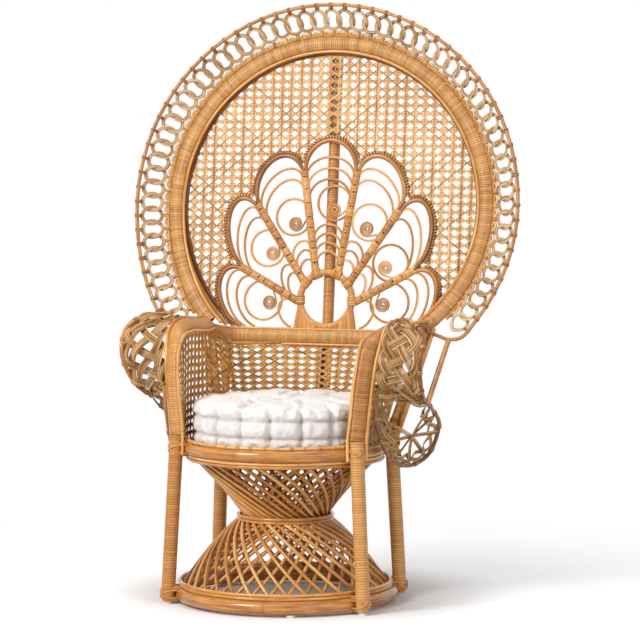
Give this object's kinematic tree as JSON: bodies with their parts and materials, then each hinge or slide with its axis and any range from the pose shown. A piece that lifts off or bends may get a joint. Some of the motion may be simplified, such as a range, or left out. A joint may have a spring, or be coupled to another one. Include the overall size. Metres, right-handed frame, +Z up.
{
  "type": "peacock chair",
  "caption": "Woven rattan armchair with a tall round fan back, rolled arms, an hourglass pedestal of twisted rods on a floor ring, and a loose round seat cushion.",
  "frame": {"origin": "on the floor, under the middle of the chair's box", "axes": "+Z up, +Y towards the back of the chair, which faces -Y, +X towards the right-hand arm as seen by someone facing the chair"},
  "size_m": [1.019, 0.6806, 1.4614],
  "materials": {
    "rattan_pole": "glossy clear varnish over honey rattan",
    "wrapped_peel": "satin varnished rattan peel wrapping",
    "raw_cane": "semi-matt split cane",
    "white_cotton": "matt cotton canvas",
    "white_nylon": "matt"
  },
  "bodies": {
    "frame": {"arm_band_left": "wrapped_peel", "arm_band_right": "wrapped_peel", "arm_inner_trim_left": "rattan_pole", "arm_inner_trim_right": "rattan_pole", "arm_outer_trim_left": "rattan_pole", "arm_outer_trim_right": "rattan_pole", "back_band": "wrapped_peel", "back_brace_left": "rattan_pole", "back_brace_right": "rattan_pole", "back_inner_trim": "rattan_pole", "back_rail": "wrapped_peel", "base_ring": "rattan_pole", "base_trim": "rattan_pole", "border_inner_links": "raw_cane", "border_rim_links": "raw_cane", "cane_field": "raw_cane", "cane_hoop": "rattan_pole", "centre_pole": "wrapped_peel", "fan_hub": "wrapped_peel", "front_leg_glide_left": "white_nylon", "front_leg_glide_right": "white_nylon", "front_leg_left": "wrapped_peel", "front_leg_right": "wrapped_peel", "lower_shell": "raw_cane", "pedestal_rods": "rattan_pole", "petal_1": "wrapped_peel", "petal_2": "wrapped_peel", "petal_3": "wrapped_peel", "petal_4": "wrapped_peel", "petal_5": "wrapped_peel", "petal_6": "wrapped_peel", "petal_7": "wrapped_peel", "rear_leg_glide_left": "white_nylon", "rear_leg_glide_right": "white_nylon", "rear_leg_left": "wrapped_peel", "rear_leg_right": "wrapped_peel", "ring_glide_1": "white_nylon", "ring_glide_2": "white_nylon", "ring_glide_3": "white_nylon", "ring_glide_4": "white_nylon", "scroll_1": "raw_cane", "scroll_2": "raw_cane", "scroll_3": "raw_cane", "scroll_4": "raw_cane", "scroll_5": "raw_cane", "scroll_6": "raw_cane", "scroll_7": "raw_cane", "seat_deck": "raw_cane", "seat_ring": "rattan_pole", "seat_trim": "rattan_pole", "waist_ring": "rattan_pole", "wing_left": "raw_cane", "wing_right": "raw_cane", "wing_stay_left": "rattan_pole", "wing_stay_right": "rattan_pole"},
    "cushion": {"seat_cushion": "white_cotton"}
  },
  "joints": [
    {"name": "cushion_lift", "type": "slide", "parent": "frame", "child": "cushion", "axis": [0, 0, 1], "range_m": [0, 0.35]}
  ]
}
